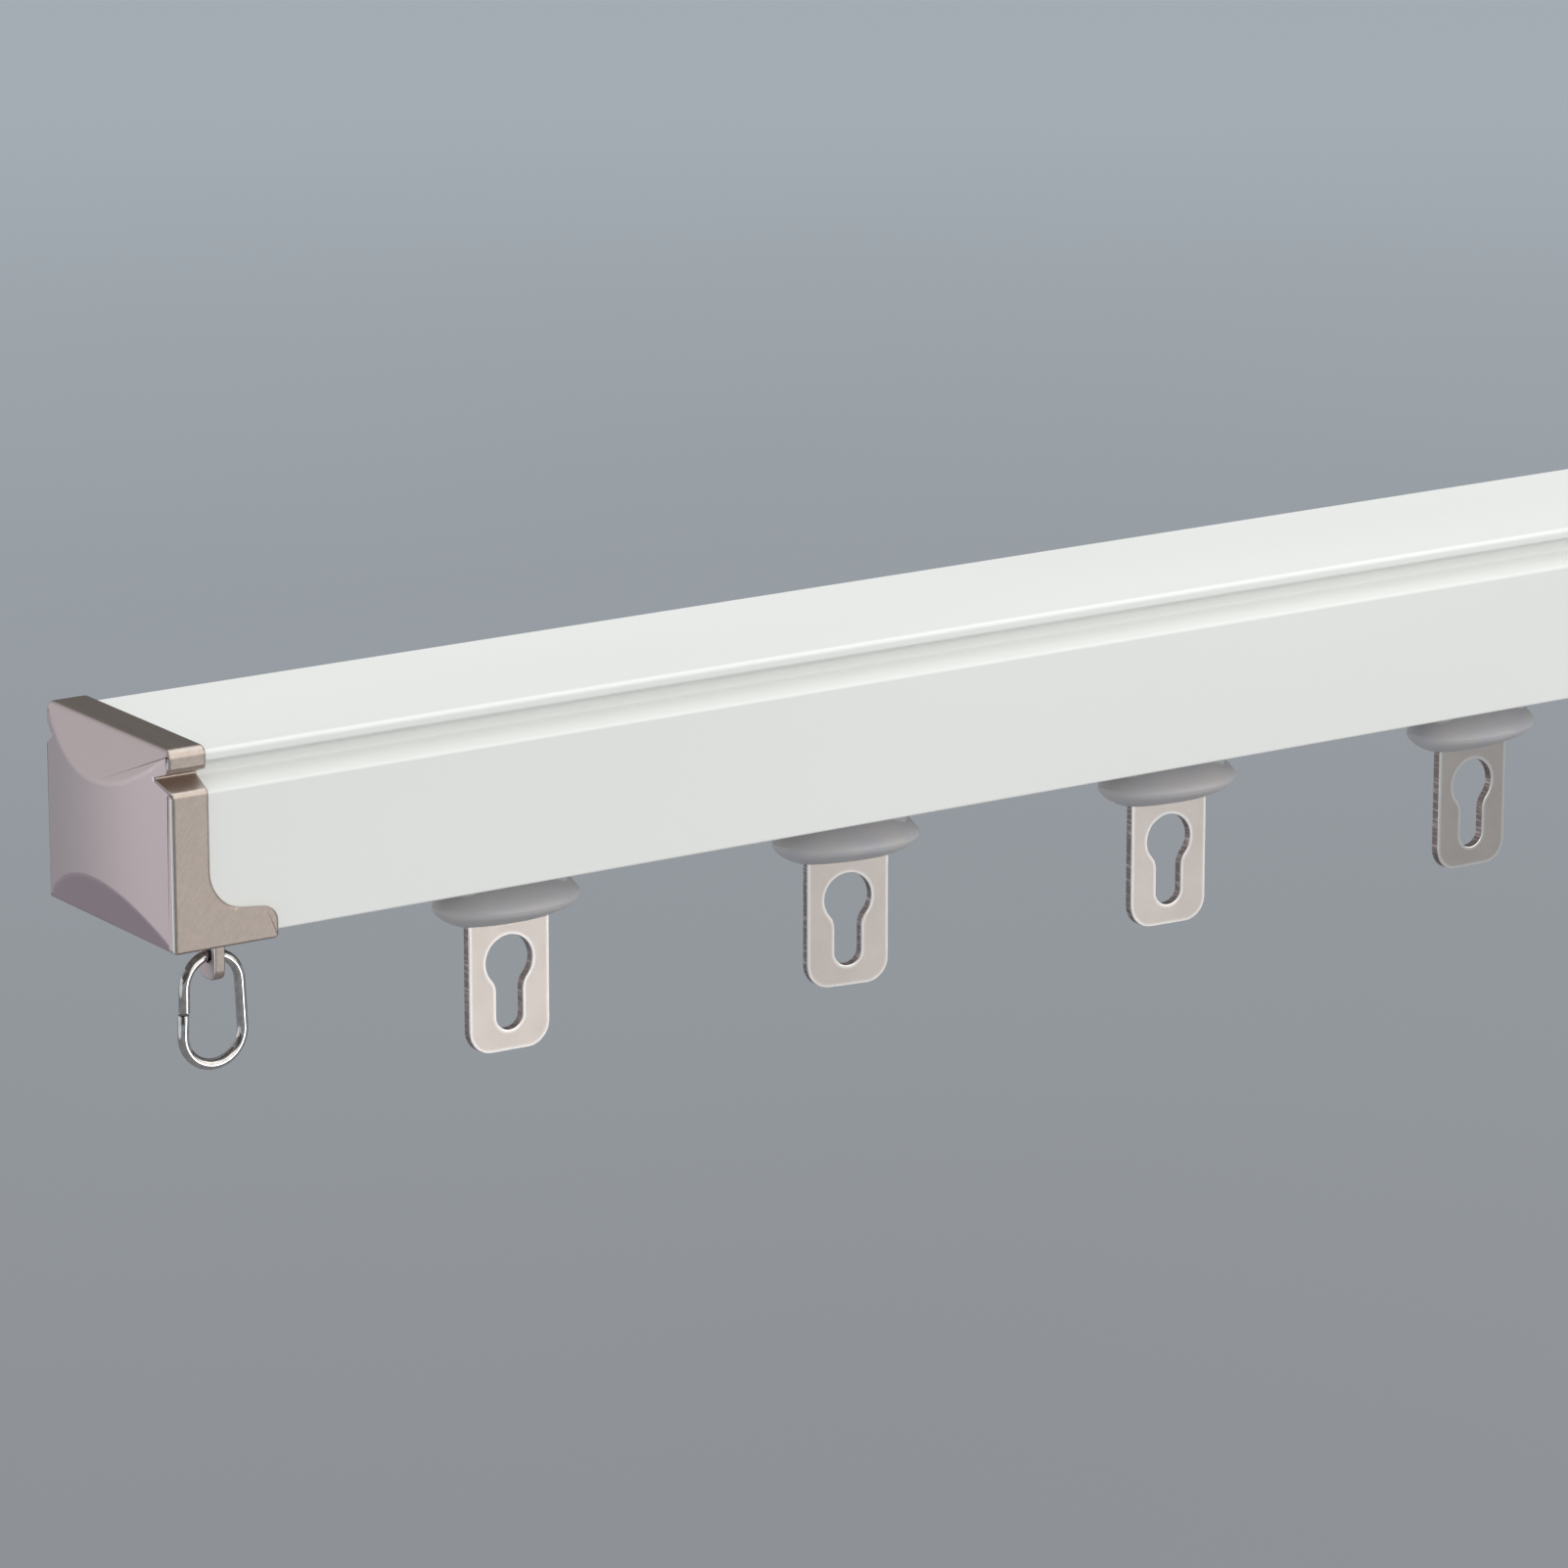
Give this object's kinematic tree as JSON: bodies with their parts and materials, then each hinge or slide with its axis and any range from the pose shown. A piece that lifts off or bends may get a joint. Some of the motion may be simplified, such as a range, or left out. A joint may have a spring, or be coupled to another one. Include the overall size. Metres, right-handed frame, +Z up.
{
  "type": "curtain track",
  "caption": "Straight white curtain rail with wheeled runners that carry keyhole hook tabs, and a clamped metal cap with a wire ring at each end.",
  "frame": {"origin": "middle of the rail's flat top face, at half its length and half its width", "axes": "+X along the rail, -Y is the front seen in the picture, +Z up towards the ceiling"},
  "size_m": [0.2818, 0.0274, 0.0439],
  "materials": {
    "rail_white": "smooth white powder coat on aluminium",
    "cap_nickel": "satin nickel plate on a zinc casting, brushed on its sides",
    "ring_chrome": "bright plated wire",
    "screw_steel": "zinc plated steel",
    "nut_zinc": "zinc plated steel",
    "nylon_white": "moulded natural nylon, slightly clear at thin edges",
    "tab_nickel": "satin nickel plate on stamped steel",
    "axle_steel": "ground steel",
    "wheel_grey": "moulded acetal"
  },
  "bodies": {
    "track": {"rail": "rail_white", "end_cap_left": "cap_nickel", "cap_screw_left": "screw_steel", "clamp_nut_left": "nut_zinc", "end_cap_right": "cap_nickel", "cap_screw_right": "screw_steel", "clamp_nut_right": "nut_zinc"},
    "ring_left": {"end_ring_left": "ring_chrome"},
    "ring_right": {"end_ring_right": "ring_chrome"},
    "runner_1": {"runner_1_carriage": "nylon_white", "runner_1_tab": "tab_nickel"},
    "runner_1_wheels_left": {"runner_1_axle_left": "axle_steel", "runner_1_wheel_left_front": "wheel_grey", "runner_1_wheel_left_back": "wheel_grey"},
    "runner_1_wheels_right": {"runner_1_axle_right": "axle_steel", "runner_1_wheel_right_front": "wheel_grey", "runner_1_wheel_right_back": "wheel_grey"},
    "runner_2": {"runner_2_carriage": "nylon_white", "runner_2_tab": "tab_nickel"},
    "runner_2_wheels_left": {"runner_2_axle_left": "axle_steel", "runner_2_wheel_left_front": "wheel_grey", "runner_2_wheel_left_back": "wheel_grey"},
    "runner_2_wheels_right": {"runner_2_axle_right": "axle_steel", "runner_2_wheel_right_front": "wheel_grey", "runner_2_wheel_right_back": "wheel_grey"},
    "runner_3": {"runner_3_carriage": "nylon_white", "runner_3_tab": "tab_nickel"},
    "runner_3_wheels_left": {"runner_3_axle_left": "axle_steel", "runner_3_wheel_left_front": "wheel_grey", "runner_3_wheel_left_back": "wheel_grey"},
    "runner_3_wheels_right": {"runner_3_axle_right": "axle_steel", "runner_3_wheel_right_front": "wheel_grey", "runner_3_wheel_right_back": "wheel_grey"},
    "runner_4": {"runner_4_carriage": "nylon_white", "runner_4_tab": "tab_nickel"},
    "runner_4_wheels_left": {"runner_4_axle_left": "axle_steel", "runner_4_wheel_left_front": "wheel_grey", "runner_4_wheel_left_back": "wheel_grey"},
    "runner_4_wheels_right": {"runner_4_axle_right": "axle_steel", "runner_4_wheel_right_front": "wheel_grey", "runner_4_wheel_right_back": "wheel_grey"},
    "runner_5": {"runner_5_carriage": "nylon_white", "runner_5_tab": "tab_nickel"},
    "runner_5_wheels_left": {"runner_5_axle_left": "axle_steel", "runner_5_wheel_left_front": "wheel_grey", "runner_5_wheel_left_back": "wheel_grey"},
    "runner_5_wheels_right": {"runner_5_axle_right": "axle_steel", "runner_5_wheel_right_front": "wheel_grey", "runner_5_wheel_right_back": "wheel_grey"}
  },
  "joints": [
    {"name": "ring_left_swing", "type": "hinge", "parent": "track", "child": "ring_left", "pos_m": [-0.12698, 0, -0.02633], "axis": [1, 0, 0], "range_deg": [-90, 90]},
    {"name": "ring_right_swing", "type": "hinge", "parent": "track", "child": "ring_right", "pos_m": [0.12698, 0, -0.02633], "axis": [1, 0, 0], "range_deg": [-90, 90]},
    {"name": "runner_1_slide", "type": "slide", "parent": "track", "child": "runner_1", "axis": [1, 0, 0], "range_m": [-0.0233, 0.0229]},
    {"name": "runner_1_spin_left", "type": "hinge", "parent": "runner_1", "child": "runner_1_wheels_left", "pos_m": [-0.096, 0.00016, -0.01475], "axis": [0.0262, 0.9997, 0], "continuous": true},
    {"name": "runner_1_spin_right", "type": "hinge", "parent": "runner_1", "child": "runner_1_wheels_right", "pos_m": [-0.084, -0.00016, -0.01475], "axis": [0.0262, 0.9997, 0], "continuous": true},
    {"name": "runner_2_slide", "type": "slide", "parent": "track", "child": "runner_2", "axis": [1, 0, 0], "range_m": [-0.0229, 0.0229]},
    {"name": "runner_2_spin_left", "type": "hinge", "parent": "runner_2", "child": "runner_2_wheels_left", "pos_m": [-0.05094, 0.00084, -0.01475], "axis": [0.1392, 0.9903, 0], "continuous": true},
    {"name": "runner_2_spin_right", "type": "hinge", "parent": "runner_2", "child": "runner_2_wheels_right", "pos_m": [-0.03906, -0.00084, -0.01475], "axis": [0.1392, 0.9903, 0], "continuous": true},
    {"name": "runner_3_slide", "type": "slide", "parent": "track", "child": "runner_3", "axis": [1, 0, 0], "range_m": [-0.0229, 0.0229]},
    {"name": "runner_3_spin_left", "type": "hinge", "parent": "runner_3", "child": "runner_3_wheels_left", "pos_m": [-0.00599, 0.00042, -0.01475], "axis": [0.0698, 0.9976, 0], "continuous": true},
    {"name": "runner_3_spin_right", "type": "hinge", "parent": "runner_3", "child": "runner_3_wheels_right", "pos_m": [0.00599, -0.00042, -0.01475], "axis": [0.0698, 0.9976, 0], "continuous": true},
    {"name": "runner_4_slide", "type": "slide", "parent": "track", "child": "runner_4", "axis": [1, 0, 0], "range_m": [-0.0229, 0.0229]},
    {"name": "runner_4_spin_left", "type": "hinge", "parent": "runner_4", "child": "runner_4_wheels_left", "pos_m": [0.039, -0.0001, -0.01475], "axis": [-0.0175, 0.9998, 0], "continuous": true},
    {"name": "runner_4_spin_right", "type": "hinge", "parent": "runner_4", "child": "runner_4_wheels_right", "pos_m": [0.051, 0.0001, -0.01475], "axis": [-0.0175, 0.9998, 0], "continuous": true},
    {"name": "runner_5_slide", "type": "slide", "parent": "track", "child": "runner_5", "axis": [1, 0, 0], "range_m": [-0.0229, 0.0233]},
    {"name": "runner_5_spin_left", "type": "hinge", "parent": "runner_5", "child": "runner_5_wheels_left", "pos_m": [0.084, 0, -0.01475], "axis": [0, 1, 0], "continuous": true},
    {"name": "runner_5_spin_right", "type": "hinge", "parent": "runner_5", "child": "runner_5_wheels_right", "pos_m": [0.096, 0, -0.01475], "axis": [0, 1, 0], "continuous": true}
  ],
  "couplings": [
    {"joint": "runner_1_spin_left", "follows": "runner_1_slide", "rad_per_m": 222.15},
    {"joint": "runner_1_spin_right", "follows": "runner_1_slide", "rad_per_m": 222.15},
    {"joint": "runner_2_spin_left", "follows": "runner_2_slide", "rad_per_m": 220.06},
    {"joint": "runner_2_spin_right", "follows": "runner_2_slide", "rad_per_m": 220.06},
    {"joint": "runner_3_spin_left", "follows": "runner_3_slide", "rad_per_m": 221.68},
    {"joint": "runner_3_spin_right", "follows": "runner_3_slide", "rad_per_m": 221.68},
    {"joint": "runner_4_spin_left", "follows": "runner_4_slide", "rad_per_m": 222.19},
    {"joint": "runner_4_spin_right", "follows": "runner_4_slide", "rad_per_m": 222.19},
    {"joint": "runner_5_spin_left", "follows": "runner_5_slide", "rad_per_m": 222.22},
    {"joint": "runner_5_spin_right", "follows": "runner_5_slide", "rad_per_m": 222.22}
  ]
}
